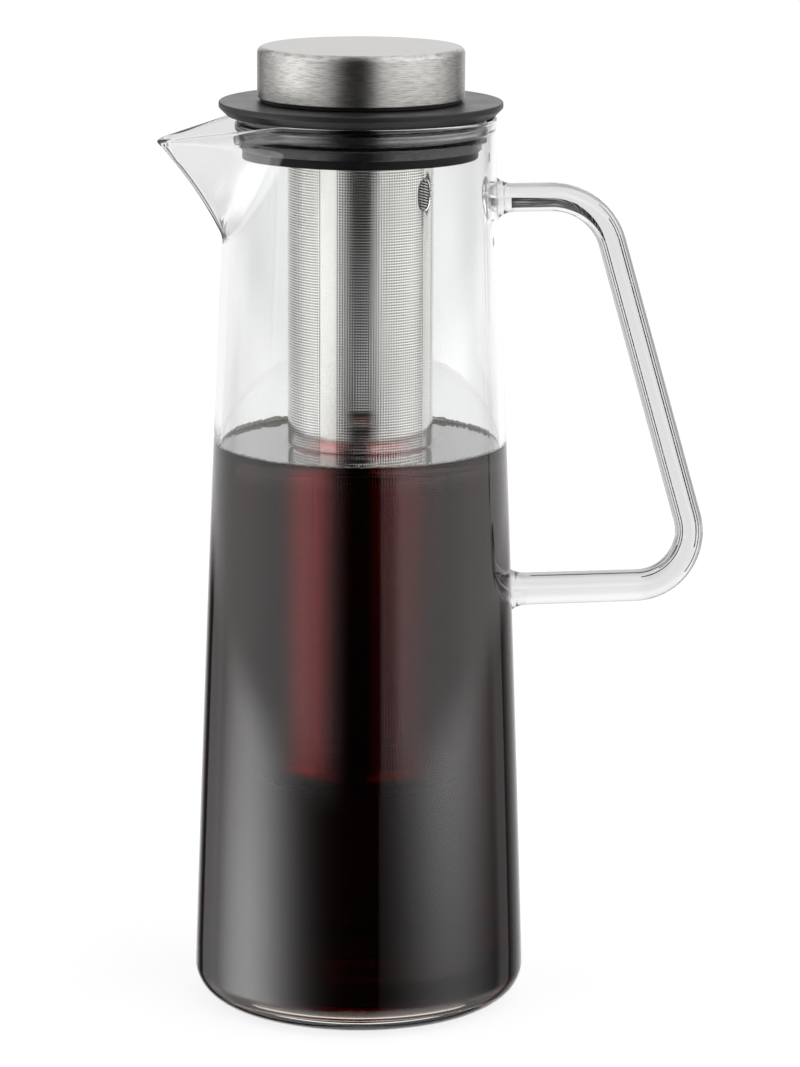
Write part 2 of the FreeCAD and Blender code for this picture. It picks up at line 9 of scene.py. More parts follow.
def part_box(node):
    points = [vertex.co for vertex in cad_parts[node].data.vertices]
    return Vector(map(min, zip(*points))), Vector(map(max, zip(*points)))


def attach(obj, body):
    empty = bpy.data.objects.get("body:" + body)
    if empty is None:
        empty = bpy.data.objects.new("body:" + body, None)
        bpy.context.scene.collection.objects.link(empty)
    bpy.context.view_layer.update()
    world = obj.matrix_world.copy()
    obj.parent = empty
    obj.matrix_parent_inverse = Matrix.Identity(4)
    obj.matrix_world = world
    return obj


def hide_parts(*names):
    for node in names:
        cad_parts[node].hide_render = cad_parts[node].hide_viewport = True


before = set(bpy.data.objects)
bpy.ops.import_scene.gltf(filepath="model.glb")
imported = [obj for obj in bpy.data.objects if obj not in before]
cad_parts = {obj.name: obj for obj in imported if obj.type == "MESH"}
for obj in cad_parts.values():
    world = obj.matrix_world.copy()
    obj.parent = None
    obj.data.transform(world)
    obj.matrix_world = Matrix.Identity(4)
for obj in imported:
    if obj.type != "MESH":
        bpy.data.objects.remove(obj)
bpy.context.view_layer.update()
mm = 0.001
scene = bpy.context.scene

# The seats and rims that the pieces meet at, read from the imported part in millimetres.
jugLow, jugHigh = [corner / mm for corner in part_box("glass_carafe")]
collarLow, collarHigh = [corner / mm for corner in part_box("collar_ring")]
sealLow, sealHigh = [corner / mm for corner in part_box("collar_seal")]
tubeLow, tubeHigh = [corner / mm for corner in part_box("filter_tube")]
cupLow, cupHigh = [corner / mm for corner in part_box("filter_base")]
flangeLow, flangeHigh = [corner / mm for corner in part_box("filter_flange")]
capLow, capHigh = [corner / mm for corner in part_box("steel_cap")]
coreLow, coreHigh = [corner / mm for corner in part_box("cap_core")]
ringLow, ringHigh = [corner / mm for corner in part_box("stopper_seal")]
print("frame read")


# Meshes

def addObject(name, points, faces, body):
    # points is an array of places in millimetres, faces a list of corner lists
    mesh = bpy.data.meshes.new(name)
    mesh.from_pydata((np.asarray(points) * mm).tolist(), [], faces)
    mesh.update()
    mesh.shade_smooth()
    piece = bpy.data.objects.new(name, mesh)
    scene.collection.objects.link(piece)
    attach(piece, body)
    return piece


def gridFaces(rows, columns, closeRows=False):
    # corner numbers of the cells of a grid whose columns close on themselves
    row = np.arange(rows if closeRows else rows - 1)[:, None]
    column = np.arange(columns)[None, :]
    nextRow = (row + 1) % rows
    nextColumn = (column + 1) % columns
    corners = [row * columns + column, row * columns + nextColumn,
               nextRow * columns + nextColumn, nextRow * columns + column]
    return np.stack(corners, axis=-1).reshape(-1, 4)


def cappedGrid(grid):
    # a grid of rings closed by one point at each end: the mean of the first and of the last ring
    rows, columns = grid.shape[:2]
    ends = [grid[0].mean(axis=0), grid[-1].mean(axis=0)]
    points = np.concatenate([grid.reshape(-1, 3), ends])
    near = np.arange(columns)
    beyond = (near + 1) % columns
    first = np.stack([near * 0 + rows * columns, beyond, near], axis=-1)
    top = (rows - 1) * columns
    last = np.stack([near * 0 + rows * columns + 1, top + near, top + beyond], axis=-1)
    return points, gridFaces(rows, columns).tolist() + first.tolist() + last.tolist()


def around(count):
    return np.arange(count) * 2 * math.pi / count


def turnedGrid(profile, columns):
    # each point of the profile (across, up) carried round the axis: (across cos, across sin, up)
    across, up = np.asarray(profile).T
    angle = around(columns)
    return np.stack([np.outer(across, np.cos(angle)), np.outer(across, np.sin(angle)),
                     np.outer(up, np.ones(columns))], axis=-1)


def turnedPiece(name, body, profile, columns=160):
    # a profile that starts and ends on the axis makes a solid, any other makes a closed ring
    profile = np.asarray(profile)
    if profile[0, 0] < 1e-6:
        points, faces = cappedGrid(turnedGrid(profile[1:-1], columns))
        points[-2:] = [[0, 0, profile[0, 1]], [0, 0, profile[-1, 1]]]
    else:
        points = turnedGrid(profile, columns).reshape(-1, 3)
        faces = gridFaces(len(profile), columns, closeRows=True).tolist()
    return addObject(name, points, faces, body)


def softened(corners, steps=6, hold=0.12):
    # corners (across, up, rounding), anticlockwise: each becomes an arc that touches both its sides,
    # with one more point just before and after it, so that the flats stay flat when shaded
    places = np.array([corner[:2] for corner in corners], float)
    outline = []
    for index, corner in enumerate(corners):
        here = places[index]
        rounding = corner[2]
        if rounding == 0:
            outline.append(here[None])
            continue
        back = places[index - 1] - here
        onward = places[(index + 1) % len(corners)] - here
        backLength, onwardLength = np.linalg.norm(back), np.linalg.norm(onward)
        back, onward = back / backLength, onward / onwardLength
        half = math.acos(np.clip(back @ onward, -1, 1)) / 2
        reach = rounding / math.tan(half)
        middle = (back + onward) / np.linalg.norm(back + onward)
        centre = here + middle * rounding / math.sin(half)
        start, finish = here + back * reach - centre, here + onward * reach - centre
        turn = np.linspace(0, 1, steps + 1)[:, None]
        blend = np.sin((1 - turn) * (math.pi - 2 * half)), np.sin(turn * (math.pi - 2 * half))
        arc = centre + (start * blend[0] + finish * blend[1]) / math.sin(math.pi - 2 * half)
        before = here + back * min(reach + hold, (reach + backLength) / 2)
        after = here + onward * min(reach + hold, (reach + onwardLength) / 2)
        outline.append(np.concatenate([before[None], arc, after[None]]))
    return np.concatenate(outline)


def smoothStep(low, high, value):
    share = np.clip((value - low) / (high - low), 0, 1)
    return share * share * (3 - 2 * share)


def attribute(piece, name, values):
    # one number for each point of the mesh, for its material to read
    layer = piece.data.attributes.new(name, "FLOAT", "POINT")
    layer.data.foreach_set("value", np.asarray(values, float).ravel())


# Shader maths

class Wire:
    # one output socket; sums and products of wires add Math nodes
    def __init__(self, tree, socket):
        self.tree = tree
        self.socket = socket

    def math(self, operation, *others):
        sockets = dict(enumerate((self,) + others))
        return self.tree.add("Math", {"operation": operation}, sockets)

    def __add__(self, other):
        return self.math("ADD", other)

    def __sub__(self, other):
        return self.math("SUBTRACT", other)

    def __mul__(self, other):
        return self.math("MULTIPLY", other)

    def __truediv__(self, other):
        return self.math("DIVIDE", other)

    def __rsub__(self, other):
        return self.tree.add("Math", {"operation": "SUBTRACT"}, {0: other, 1: self})

    def __neg__(self):
        return self * -1

    def __gt__(self, other):
        return self.math("GREATER_THAN", other)

    def __lt__(self, other):
        return self.math("LESS_THAN", other)

    __radd__ = __add__
    __rmul__ = __mul__


class Tree:
    # the nodes of one material or of the world
    def __init__(self, holder):
        holder.use_nodes = True
        self.nodes = holder.node_tree.nodes
        self.links = holder.node_tree.links
        self.nodes.clear()

    def add(self, kind, settings=None, sockets=None, give=0):
        # any node: its settings first, then the values or wires of its sockets; gives one output
        node = self.nodes.new("ShaderNode" + kind)
        for name, value in (settings or {}).items():
            setattr(node, name, value)
        for name, value in (sockets or {}).items():
            if isinstance(value, Wire):
                self.links.new(value.socket, node.inputs[name])
            else:
                node.inputs[name].default_value = value
        return Wire(self, node.outputs[give]) if len(node.outputs) else node

    def other(self, wire, name):
        return Wire(self, wire.socket.node.outputs[name])

    def split(self, vector):
        first = self.add("SeparateXYZ", None, {0: vector})
        return first, self.other(first, 1), self.other(first, 2)

    def join(self, x, y, z):
        return self.add("CombineXYZ", None, {0: x, 1: y, 2: z})

    def place(self):
        # the place on the object, in metres
        return self.add("TexCoord", None, None, "Object")

    def noise(self, vector, scale, detail=2.0, roughness=0.5):
        return self.add("TexNoise", None, {"Vector": vector, "Scale": scale, "Detail": detail,
                                           "Roughness": roughness})

    def ramp(self, wire, low, high, kind="SMOOTHSTEP"):
        # 0 below low, 1 above high, smooth or straight between
        return self.add("MapRange", {"interpolation_type": kind},
                        {"Value": wire, "From Min": low, "From Max": high})

    def mixColour(self, share, first, second):
        return self.add("Mix", {"data_type": "RGBA"}, {0: share, 6: first, 7: second}, 2)

    def bump(self, height, strength, distance):
        return self.add("Bump", None, {"Height": height, "Strength": strength, "Distance": distance * mm})

    def finish(self, surface, volume=None):
        sockets = {"Surface": surface}
        if volume is not None:
            sockets["Volume"] = volume
        self.add("OutputMaterial", None, sockets)


def newMaterial(name):
    material = bpy.data.materials.new(name)
    return material, Tree(material)


def dress(piece, material):
    piece.data.materials.clear()
    piece.data.materials.append(material)


# The photographer's place

cameraView = dict(
    turn=8.5, distance=1285.2, height=429.74,   # the camera stands this far round, out and up
    yaw=0.558, pitch=12.364, roll=0.27, lens=142.17,
)


# Materials

glassLook = dict(
    ior=1.47,
    tint=(0.994, 0.998, 0.997, 1.0),      # of the thin wall
    rodTint=(0.955, 0.96, 0.958, 1.0),    # of the thick rod
    rippleSize=28.0,      # across one ripple of the blown wall, mm
    rippleDepth=0.02,     # mm
)


def glassMaterial(name, tint, wetted):
    # clear glass; where the mesh says it is wetted, the liquid takes its inner reflection away
    material, tree = newMaterial(name)
    ripple = tree.noise(tree.place(), 1 / (glassLook["rippleSize"] * mm), 1.0)
    normal = tree.bump(ripple, 1.0, glassLook["rippleDepth"])
    glass = tree.add("BsdfPrincipled", None, {
        "Base Color": tint, "Roughness": 0.0, "IOR": glassLook["ior"],
        "Transmission Weight": 1.0, "Normal": normal})
    if wetted:
        wetGlass = tree.add("BsdfRefraction", None, {
            "Color": tint, "Roughness": 0.0, "IOR": glassLook["ior"]})
        wet = tree.add("Attribute", {"attribute_name": "wet"}, None, "Fac")
        glass = tree.add("MixShader", None, {0: wet, 1: glass, 2: wetGlass})
    tree.finish(glass)
    return material


coffeeLook = dict(
    ior=1.333,
    density=700.0,                      # absorption per metre at full strength
    colour=(0.912, 0.48, 0.05, 1.0),    # red is taken up ten times more slowly than blue
)


def coffeeMaterial():
    # dark clear liquid: light is taken up along its way, blue first; only the top reflects
    material, tree = newMaterial("coldBrew")
    clear = (1.0, 1.0, 1.0, 1.0)
    top = tree.add("BsdfPrincipled", None, {
        "Base Color": clear, "Roughness": 0.0, "IOR": coffeeLook["ior"], "Transmission Weight": 1.0})
    side = tree.add("BsdfRefraction", None, {"Color": clear, "Roughness": 0.0, "IOR": coffeeLook["ior"]})
    free = tree.add("Attribute", {"attribute_name": "free"}, None, "Fac")
    surface = tree.add("MixShader", None, {0: free, 1: side, 2: top})
    volume = tree.add("VolumeAbsorption", None, {
        "Color": coffeeLook["colour"], "Density": coffeeLook["density"]})
    tree.finish(surface, volume)
    return material


foamLook = dict(colour=(0.88, 0.85, 0.78, 1.0), gap=(0.42, 0.34, 0.25, 1.0), glow=(0.72, 0.67, 0.59, 1.0),
                bubbleSize=0.8)


def foamMaterial():
    # bubbles along the edge: nearly white beads with brown gaps between them
    material, tree = newMaterial("coffeeFoam")
    beads = tree.add("TexVoronoi", None, {
        "Vector": tree.place(), "Scale": 1 / (foamLook["bubbleSize"] * mm)})
    colour = tree.mixColour(tree.ramp(beads, 0.3, 0.85), foamLook["colour"], foamLook["gap"])
    normal = tree.bump(1 - beads, 0.6, 0.3)
    skin = tree.add("BsdfPrincipled", None, {"Base Color": colour, "Roughness": 0.35, "Normal": normal})
    through = tree.add("BsdfTranslucent", None, {"Color": foamLook["glow"]})
    tree.finish(tree.add("MixShader", None, {0: 0.5, 1: skin, 2: through}))
    return material


plasticLook = dict(colour=(0.008, 0.008, 0.0085, 1.0), roughness=0.38, shine=0.3, grain=0.35)


def plasticMaterial(name, paler=1.0):
    # moulded black plastic with a fine spark-eroded grain and faint wear in its shine
    material, tree = newMaterial(name)
    place = tree.place()
    grain = tree.noise(place, 1 / (plasticLook["grain"] * mm), 3.0, 0.6)
    patches = tree.noise(place, 1 / (9.0 * mm), 2.0)
    base = np.array(plasticLook["colour"]) * [paler, paler, paler, 1]
    colour = tree.mixColour(tree.ramp(grain, 0.35, 0.7), tuple(base), tuple(base * [1.7, 1.7, 1.7, 1]))
    roughness = plasticLook["roughness"] + (patches - 0.5) * 0.16
    tree.finish(tree.add("BsdfPrincipled", None, {
        "Base Color": colour, "Roughness": roughness, "IOR": 1.5, "Specular IOR Level": plasticLook["shine"],
        "Normal": tree.bump(grain, 0.35, 0.05)}))
    return material


siliconeLook = dict(colour=(0.012, 0.012, 0.0125, 1.0), dust=(0.018, 0.018, 0.019, 1.0), roughness=0.24)


def siliconeMaterial(name):
    # soft rubbery silicone with a velvet bloom of dust
    material, tree = newMaterial(name)
    dust = tree.noise(tree.place(), 1 / (1.4 * mm), 4.0, 0.65)
    colour = tree.mixColour(tree.ramp(dust, 0.45, 0.8), siliconeLook["colour"], siliconeLook["dust"])
    tree.finish(tree.add("BsdfPrincipled", None, {
        "Base Color": colour, "Roughness": siliconeLook["roughness"] + (dust - 0.5) * 0.12,
        "IOR": 2.0, "Normal": tree.bump(dust, 0.05, 0.02)}))
    return material


steelLook = dict(colour=(0.56, 0.545, 0.525, 1.0), grooves=0.2)


def roundThe(tree):
    # direction from the axis, height and distance from the axis at a place on the object
    x, y, z = tree.split(tree.place())
    distance = (x * x + y * y).math("SQRT") + 1e-6
    return x / distance, y / distance, z, distance


def brushedSteel(name, roughness=0.42, anisotropy=0.95, contrast=0.6, shade=1.0):
    # steel turned on a lathe: fine grooves that run round the axis
    material, tree = newMaterial(name)
    sideways, onward, z, distance = roundThe(tree)
    lines = tree.join(sideways * 9.0, onward * 9.0, (z + distance) / (steelLook["grooves"] * mm))
    grooves = tree.noise(lines, 1.0, 3.0, 0.6)
    smudges = tree.noise(tree.place(), 1 / (11.0 * mm), 3.0)
    # shade below 1 paints the steel darker: painted shade on the pieces that use it
    bright = np.array(steelLook["colour"]) * shade
    colour = tree.mixColour(tree.ramp(grooves, 0.34, 0.6), tuple(bright * contrast), tuple(bright))
    tree.finish(tree.add("BsdfPrincipled", None, {
        "Base Color": colour, "Metallic": 1.0,
        "Roughness": roughness + (grooves - 0.5) * 0.12 + (smudges - 0.5) * 0.06,
        "Anisotropic": anisotropy, "Anisotropic Rotation": 0.25,
        "Normal": tree.bump(grooves, 0.25, 0.02)}))
    return material


meshLook = dict(
    pitch=0.84,           # from one hole to the next, mm
    backPitch=0.876,      # the same up the two sheets at the back
    rowsFrom=429.7,       # height that the rows are counted from, mm
    hole=0.6,             # share of the pitch that is open
    stripWidth=5.4,       # plain strips along the tube, mm
    stripTurn=56.0,       # a strip's turn from -Y towards +X, degrees, one every quarter
    stripCount=4,
    plainBelow=7.0,       # height of the plain band at the foot, mm
    plainAbove=3.0,       # and at the top
    steel=(0.78, 0.77, 0.745, 1.0), bright=(0.87, 0.86, 0.835, 1.0),   # the tube's outside
    paintedShadeInside=(0.24, 0.22, 0.19, 1.0),      # and its inside: painted shade, darker than the outside
)


def filterMaterial():
    # steel sheet etched with square holes, with plain strips along it and plain bands at its ends
    material, tree = newMaterial("perforatedSteel")
    x, y, z = tree.split(tree.place())
    radius = tubeHigh.x
    inside = (x * x + y * y).math("SQRT") < (radius - filterSizes["wall"] / 2) * mm
    angle = x.math("ARCTAN2", -y)
    holesAround = round(2 * math.pi * radius / meshLook["pitch"])
    column = (angle * (holesAround / (2 * math.pi)) + 1000).math("FRACT")
    back = ((angle - math.radians(meshLook["stripTurn"])).math("SINE") > 0)
    pitch = (meshLook["pitch"] + back * (meshLook["backPitch"] - meshLook["pitch"])) * mm
    row = ((meshLook["rowsFrom"] * mm - z) / pitch).math("FRACT")
    half = meshLook["hole"] / 2
    hole = ((column - 0.5).math("ABSOLUTE") < half) * ((row - 0.5).math("ABSOLUTE") < half)
    quarter = 2 * math.pi / meshLook["stripCount"]
    fromStrip = (angle - math.radians(meshLook["stripTurn"]) + 100.5 * quarter).math("MODULO", quarter)
    sideways = (fromStrip - quarter / 2).math("ABSOLUTE") * radius
    sheet = ((sideways > meshLook["stripWidth"] / 2)
             * (z > (tubeLow.z + meshLook["plainBelow"]) * mm)
             * (z < (tubeHigh.z - meshLook["plainAbove"]) * mm))
    grain = tree.noise(tree.place(), 1 / (0.8 * mm), 3.0)
    steel = tree.mixColour(grain, meshLook["steel"], meshLook["bright"])
    # the tube's inside takes the darker colour: painted shade inside the tube, which also darkens what shows
    # through the holes
    tree.finish(tree.add("BsdfPrincipled", None, {
        "Base Color": tree.mixColour(inside, steel, meshLook["paintedShadeInside"]),
        "Metallic": 1.0, "Roughness": 0.17 + (grain - 0.5) * 0.1,
        "Alpha": 1 - hole * sheet, "Normal": tree.bump(grain, 0.2, 0.02)}))
    return material


# The jug

jug = dict(
    wall=2.2, floor=5.0, footRounding=9.5, neckRadius=41.12, bulge=0.46,
    beadHeight=4.0, beadSlope=1.2, beadProud=0.45, rimCrown=1.05,
    spoutStart=242.0, spoutCorner=2.0, spoutCurve=0.233, spoutDrop=6.5, spoutTip=7.0,
    lipExtra=0.8,         # thicker glass at the spout's lip
    pourStart=28.1,       # how far out the rim starts to fall towards the tip
    columns=352,
)
rim = jugHigh.z
baseRadius = jugHigh.y
spoutReach = -jugLow.x


def wallRadius(height):
    # outside of the tapering wall: a straight taper plus a shallow parabola
    share = np.clip((height - jug["footRounding"]) / (rim - jug["beadHeight"] - jug["footRounding"]), 0, 1)
    straight = baseRadius + (jug["neckRadius"] - baseRadius) * share
    return straight + jug["bulge"] * 4 * share * (1 - share)


def hullDistance(turn, radius, centre, tip):
    # distance from the axis to a line drawn tight round two circles: the wall about the axis, and
    # the spout's nose at a distance
    lean = np.arccos(np.clip((radius - tip) / np.maximum(centre, 1e-6), -1, 1))
    touch = np.arctan2(tip * np.sin(lean), centre + tip * np.cos(lean))
    inside = np.maximum(tip ** 2 - (centre * np.sin(turn)) ** 2, 0)
    nose = centre * np.cos(turn) + np.sqrt(inside)
    flank = radius / np.maximum(np.cos(lean - turn), 0.05)
    return np.where(turn < touch, nose, np.where(turn < lean, flank, radius))


def jugRing(height, top, turn, inset):
    # radius of the jug's outside, or of its inside where inset is the wall; the spout's nose leaves
    # the wall at a soft corner and leans out along a shallow curve
    bead = jug["beadProud"] * smoothStep(0, jug["beadSlope"], height - top + jug["beadHeight"])
    wall = wallRadius(height)
    length = rim - jug["spoutDrop"] - jug["rimCrown"] - jug["spoutStart"]
    climb, corner = height - jug["spoutStart"], jug["spoutCorner"]
    climb = np.where(climb < corner, np.clip(climb + corner, 0, None) ** 2 / (4 * corner), climb)
    share = np.clip(climb / length, 0, 1)
    reach = wall + (spoutReach - wall) * share * (1 - jug["spoutCurve"] * (1 - share))
    lip = jug["lipExtra"] * smoothStep(0.8, 1, share) if inset else 0
    return hullDistance(turn, wall - inset + (0 if inset else bead), reach - jug["spoutTip"] - lip,
                        jug["spoutTip"] - inset)


def makeJug():
    # rings from the middle of the foot up the outside, over the rim, down the inside to the floor
    angle = around(jug["columns"])
    turn = np.abs((angle % (2 * math.pi)) - math.pi)          # from -X, where the spout is
    flat = baseRadius - jug["footRounding"]
    ones = np.ones_like(angle)

    def topHeight(inset):
        out = jugRing(rim, rim, turn, inset) * np.cos(turn)
        fall = (out - jug["pourStart"]) / (spoutReach - inset - jug["pourStart"])
        return rim - jug["spoutDrop"] * np.clip(fall, 0, 1)

    outerTop = topHeight(0)
    innerTop = topHeight(jug["wall"])
    quarterTurn = np.linspace(0, math.pi / 2, 13)[1:, None]
    share = np.concatenate([np.linspace(0, 0.83, 26), np.linspace(0.83, 1, 62)[1:]])[:, None]

    footFlat = np.linspace(0.5, flat, 5)[:, None] * ones, np.zeros((5, 1)) * ones
    rounding = jug["footRounding"]
    footArc = ((flat + rounding * np.sin(quarterTurn)) * ones,
               (rounding - rounding * np.cos(quarterTurn)) * ones)
    crown = jug["rimCrown"]
    outerHeight = rounding + (outerTop - crown - rounding) * share[1:]
    outerWall = jugRing(outerHeight, outerTop, turn, 0), outerHeight

    innerHeight = rounding + (innerTop - crown - rounding) * share[::-1]
    innerWall = jugRing(innerHeight, innerTop, turn, jug["wall"]), innerHeight

    over = np.linspace(0, math.pi, 15)[1:-1, None]
    edgeOut, edgeIn = outerWall[0][-1], innerWall[0][0]
    levelOut, levelIn = outerWall[1][-1], innerWall[1][0]
    middle, half = (edgeOut + edgeIn) / 2, (edgeOut - edgeIn) / 2
    level = (levelOut + levelIn) / 2 + (levelOut - levelIn) / 2 * np.cos(over)
    crest = middle + half * np.cos(over), level + crown * np.sin(over)

    innerRounding = rounding - jug["wall"]
    innerFlat = baseRadius - jug["wall"] - innerRounding
    innerArc = ((innerFlat + innerRounding * np.cos(quarterTurn)) * ones,
                (jug["floor"] + innerRounding - innerRounding * np.sin(quarterTurn)) * ones)
    floorFlat = np.linspace(innerFlat, 0.5, 6)[1:, None] * ones, np.full((5, 1), jug["floor"]) * ones

    stretches = [footFlat, footArc, outerWall, crest, innerWall, innerArc, floorFlat]
    radius = np.concatenate([stretch[0] for stretch in stretches])
    height = np.concatenate([stretch[1] for stretch in stretches])
    grid = np.stack([radius * np.cos(angle), radius * np.sin(angle), height], axis=-1)
    points, faces = cappedGrid(grid)
    piece = addObject("jug_glass", points, faces, "jug")
    insideFrom = len(footFlat[0]) + len(footArc[0]) + len(outerWall[0]) + len(crest[0])
    inside = np.arange(len(radius)) >= insideFrom
    wet = inside[:, None] * (height < coffee["level"]) * (height > jug["floor"] + 0.5 * innerRounding)
    attribute(piece, "wet", np.concatenate([wet.ravel(), [0, 1]]))
    dress(piece, glassMaterial("clearGlass", glassLook["tint"], wetted=True))
    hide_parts("glass_carafe")


# The coffee in it

coffee = dict(
    level=177.2,
    soak=0.12,            # how far the liquid's skin lies inside the glass, so that no air shows
    meniscus=0.5,         # climb of the liquid at the wall
    climb=0.6,            # and at the filter
    columns=200,
)


def makeCoffee():
    # a turned body that fills the jug's inside, with its level surface drawn up at the wall
    floor = jug["floor"] - coffee["soak"]
    corner = jug["footRounding"] - jug["wall"]
    innerFlat = baseRadius - jug["wall"] - corner
    sweep = np.linspace(0, math.pi / 2, 10)
    foot = np.stack([innerFlat + (corner + coffee["soak"]) * np.sin(sweep),
                     floor + (corner + coffee["soak"]) * (1 - np.cos(sweep))], axis=-1)
    climb = coffee["level"] + coffee["meniscus"]
    heights = np.linspace(foot[-1, 1], climb, 40)[1:]
    wall = np.stack([wallRadius(heights) - jug["wall"] + coffee["soak"], heights], axis=-1)
    edge = wallRadius(climb) - jug["wall"]
    near = np.array([0.0, 0.3, 0.6, 1.0, 1.5, 2.2, 3.2, 5.0])
    tube = tubeHigh.x - 0.15
    out = np.concatenate([edge - near, tube + near[:0:-1], tube - near, [12.0, 6.0, 0.5]])
    level = (coffee["level"] + coffee["meniscus"] * np.exp(-(edge - out) / 1.1)
             + coffee["climb"] * np.exp(-np.abs(out - tube) / 0.9))
    surface = np.stack([out, level], axis=-1)
    profile = np.concatenate([[[0, floor]], [[0.5, floor]], foot, wall, surface, [[0, coffee["level"]]]])
    piece = turnedPiece("coffee", "jug", profile, coffee["columns"])
    free = np.arange(len(profile) - 2) >= 1 + len(foot) + len(wall)
    attribute(piece, "free", np.concatenate([np.repeat(free, coffee["columns"]), [0, 1]]))
    dress(piece, coffeeMaterial())


foam = dict(thin=0.08, thick=0.3, residue=0.9, columns=720, seed=4)


def ragged(angle, seed, waves, low, high):
    # a sum of waves with random turns round the ring, between low and high
    turns = np.random.default_rng(seed).uniform(0, 2 * math.pi, len(waves))
    total = sum(np.sin(wave * angle + turn) for wave, turn in zip(waves, turns))
    share = 0.5 + total / (2 * math.sqrt(len(waves)) * 1.6)
    return low + (high - low) * np.clip(share, 0, 1)


def makeFoam():
    # a thin ring of bubbles on the wall at the liquid's edge, ragged in height and thickness, with
    # a taller residue towards the back
    angle = around(foam["columns"])
    back = smoothStep(-0.2, 0.9, np.sin(angle))
    thick = ragged(angle, foam["seed"], (7, 23, 61, 97, 151, 211), foam["thin"], foam["thick"])
    rise = ragged(angle, foam["seed"] + 1, (3, 11, 29, 83, 137, 197), 0.1, 0.7)
    tall = thick * 1.3 + back * foam["residue"] * ragged(angle, foam["seed"] + 2, (2, 5, 17, 41), 0.1, 0.5)
    section = around(10)[:, None]
    centre = wallRadius(coffee["level"]) - jug["wall"] - thick * 1.05
    radius = centre + thick * np.cos(section)
    height = coffee["level"] + rise + tall + tall * np.sin(section)
    grid = np.stack([radius * np.cos(angle), radius * np.sin(angle), height], axis=-1)
    faces = gridFaces(10, foam["columns"], closeRows=True).tolist()
    piece = addObject("coffee_foam", grid.reshape(-1, 3), faces, "jug")
    dress(piece, foamMaterial())


# The handle

handle = dict(
    drop=26.25, span=124.1, topReach=74.8, bottomReach=110.7, topBend=20.5, bottomBend=16.8,
    pad=13.6, flare=5.0,
    thickness=((0, 9.0), (0.1, 9.0), (0.2, 8.65), (0.68, 8.8), (0.79, 10.1), (1, 10.3)),  # along the rod
    bite=0.08,            # how far the welded ends run into the wall
    columns=72,
)


def runningMean(values, width=9):
    # a running mean with its ends held
    padded = np.pad(values, width // 2, mode="edge")
    return np.convolve(padded, np.full(width, 1 / width), mode="valid")


def bentPath(corners, bends, step):
    # points and directions along straight runs joined by arcs that touch them
    points, ways = [], []
    start = corners[0]
    for index, bend in enumerate(bends, start=1):
        here = corners[index]
        before = (here - corners[index - 1]) / np.linalg.norm(here - corners[index - 1])
        after = (corners[index + 1] - here) / np.linalg.norm(corners[index + 1] - here)
        angle = math.acos(before @ after)
        reach = bend * math.tan(angle / 2)
        touch = here - before * reach
        steps = np.linspace(0, 1, max(int(np.linalg.norm(touch - start) / step), 2))[:, None]
        points.append(start + (touch - start) * steps)
        ways.append(np.repeat(before[None], len(steps), axis=0))
        side = (after - before * (before @ after)) / math.sin(angle)
        turn = np.linspace(0, angle, 25)[1:-1, None]
        points.append(touch + bend * (before * np.sin(turn) + side * (1 - np.cos(turn))))
        ways.append(before * np.cos(turn) + side * np.sin(turn))
        start = here + after * reach
    finish = corners[-1]
    steps = np.linspace(0, 1, max(int(np.linalg.norm(finish - start) / step), 2))[:, None]
    points.append(start + (finish - start) * steps)
    ways.append(np.repeat(after[None], len(steps), axis=0))
    return np.concatenate(points), np.concatenate(ways)


def handlePath():
    # points and directions of the rod's centre line, and the way run from its upper end
    top = rim - handle["drop"]
    bottom = top - handle["span"]
    corners = np.array([[wallRadius(top), top], [handle["topReach"], top],
                        [handle["bottomReach"], bottom], [wallRadius(bottom), bottom]])
    points, ways = bentPath(corners, (handle["topBend"], handle["bottomBend"]), 1.2)
    return points, ways, np.concatenate([[0], np.cumsum(np.linalg.norm(np.diff(points, axis=0), axis=1))])


def makeHandle():
    # a round rod along the bent line, a little uneven as drawn glass is, flared where it meets the
    # wall, its end rings laid on the glass
    points, ways, run = handlePath()
    fromEnd = np.minimum(run, run[-1] - run)
    flare = np.clip(1 - fromEnd / handle["flare"], 0, 1) ** 2
    places, thickness = zip(*handle["thickness"])
    rod = runningMean(np.interp(run / run[-1], places, thickness))
    radius = (rod / 2 + (handle["pad"] - rod) / 2 * flare)[:, None]
    angle = around(handle["columns"])
    across = points[:, :1] - ways[:, 1:] * radius * np.cos(angle)
    up = points[:, 1:] + ways[:, :1] * radius * np.cos(angle)
    sideways = radius * np.sin(angle)
    # Near the wall every ring is pushed along the arm by the wall's own curve.
    away = np.sqrt(np.maximum(wallRadius(up) ** 2 - sideways ** 2, 0)) - wallRadius(points[:, 1:])
    fade = np.clip(1 - fromEnd / 12, 0, 1)[:, None] ** 2
    across = across + (away - handle["bite"]) * fade
    grid = np.stack([across, -sideways, up], axis=-1)
    piece = addObject("handle_glass", *cappedGrid(grid), "jug")
    dress(piece, glassMaterial("handleGlass", glassLook["rodTint"], wetted=False))
    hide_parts("glass_handle")


# The collar and its seal

collar = dict(bevel=2.4, edgeRounding=0.5, boreRadius=29.6, skirtRadius=35.0, lipRadius=36.0, lipHeight=2.7,
              ledgeHeight=5.5, tubeClearance=0.4)


def makeCollar():
    # the disc with its bevelled edge, the skirt below it and the stepped bore
    top, bottom = collarHigh.z, collarLow.z
    under = sealHigh.z
    wide = collarHigh.x
    ledge = bottom + collar["ledgeHeight"]
    hole = tubeHigh.x + collar["tubeClearance"]
    lip = bottom + collar["lipHeight"]
    outline = softened([
        (hole, bottom, 0.3), (collar["lipRadius"], bottom, 0.4), (collar["lipRadius"], lip, 0.2),
        (collar["skirtRadius"], lip, 0.1), (collar["skirtRadius"], under, 0.1),
        (wide - collar["bevel"], under, 0.3), (wide, under + collar["bevel"], 0.4),
        (wide, top, collar["edgeRounding"]), (collar["boreRadius"], top, 0.5),
        (collar["boreRadius"], ledge, 0.2), (hole, ledge, 0.3),
    ])
    piece = turnedPiece("collar_body", "filter_unit", outline, 200)
    dress(piece, plasticMaterial("mattBlackPlastic"))
    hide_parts("collar_ring")


